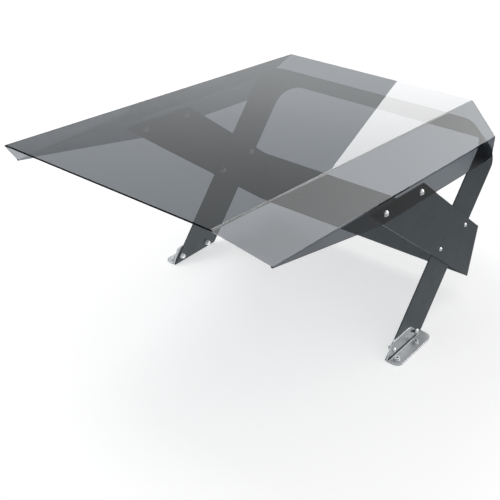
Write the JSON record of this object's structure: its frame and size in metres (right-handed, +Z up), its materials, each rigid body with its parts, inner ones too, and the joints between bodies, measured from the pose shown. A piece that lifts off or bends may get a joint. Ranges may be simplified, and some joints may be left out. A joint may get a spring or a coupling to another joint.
{
  "type": "robot mower garage",
  "caption": "Open garage for a robotic lawn mower: a folded, smoked roof sheet on two crossing bent steel straps with bolt-down feet.",
  "frame": {"origin": "on the underside of the right foot, midway between its two ground anchors", "axes": "+Z up, -Y towards the open front where the mower drives in, +X towards the right-hand side as seen from the front, looking along +Y"},
  "size_m": [0.824, 1.1088, 0.615],
  "materials": {
    "smoked_acrylic": "clear smoked acrylic, polished faces",
    "anthracite_steel": "satin powder coat, anthracite",
    "zinc_steel": "bright zinc plated"
  },
  "bodies": {
    "root": {"roof_sheet": "smoked_acrylic", "hoop_frame": "anthracite_steel", "rear_band": "anthracite_steel", "right_foot_bracket": "zinc_steel", "left_foot_bracket": "zinc_steel"}
  },
  "joints": []
}
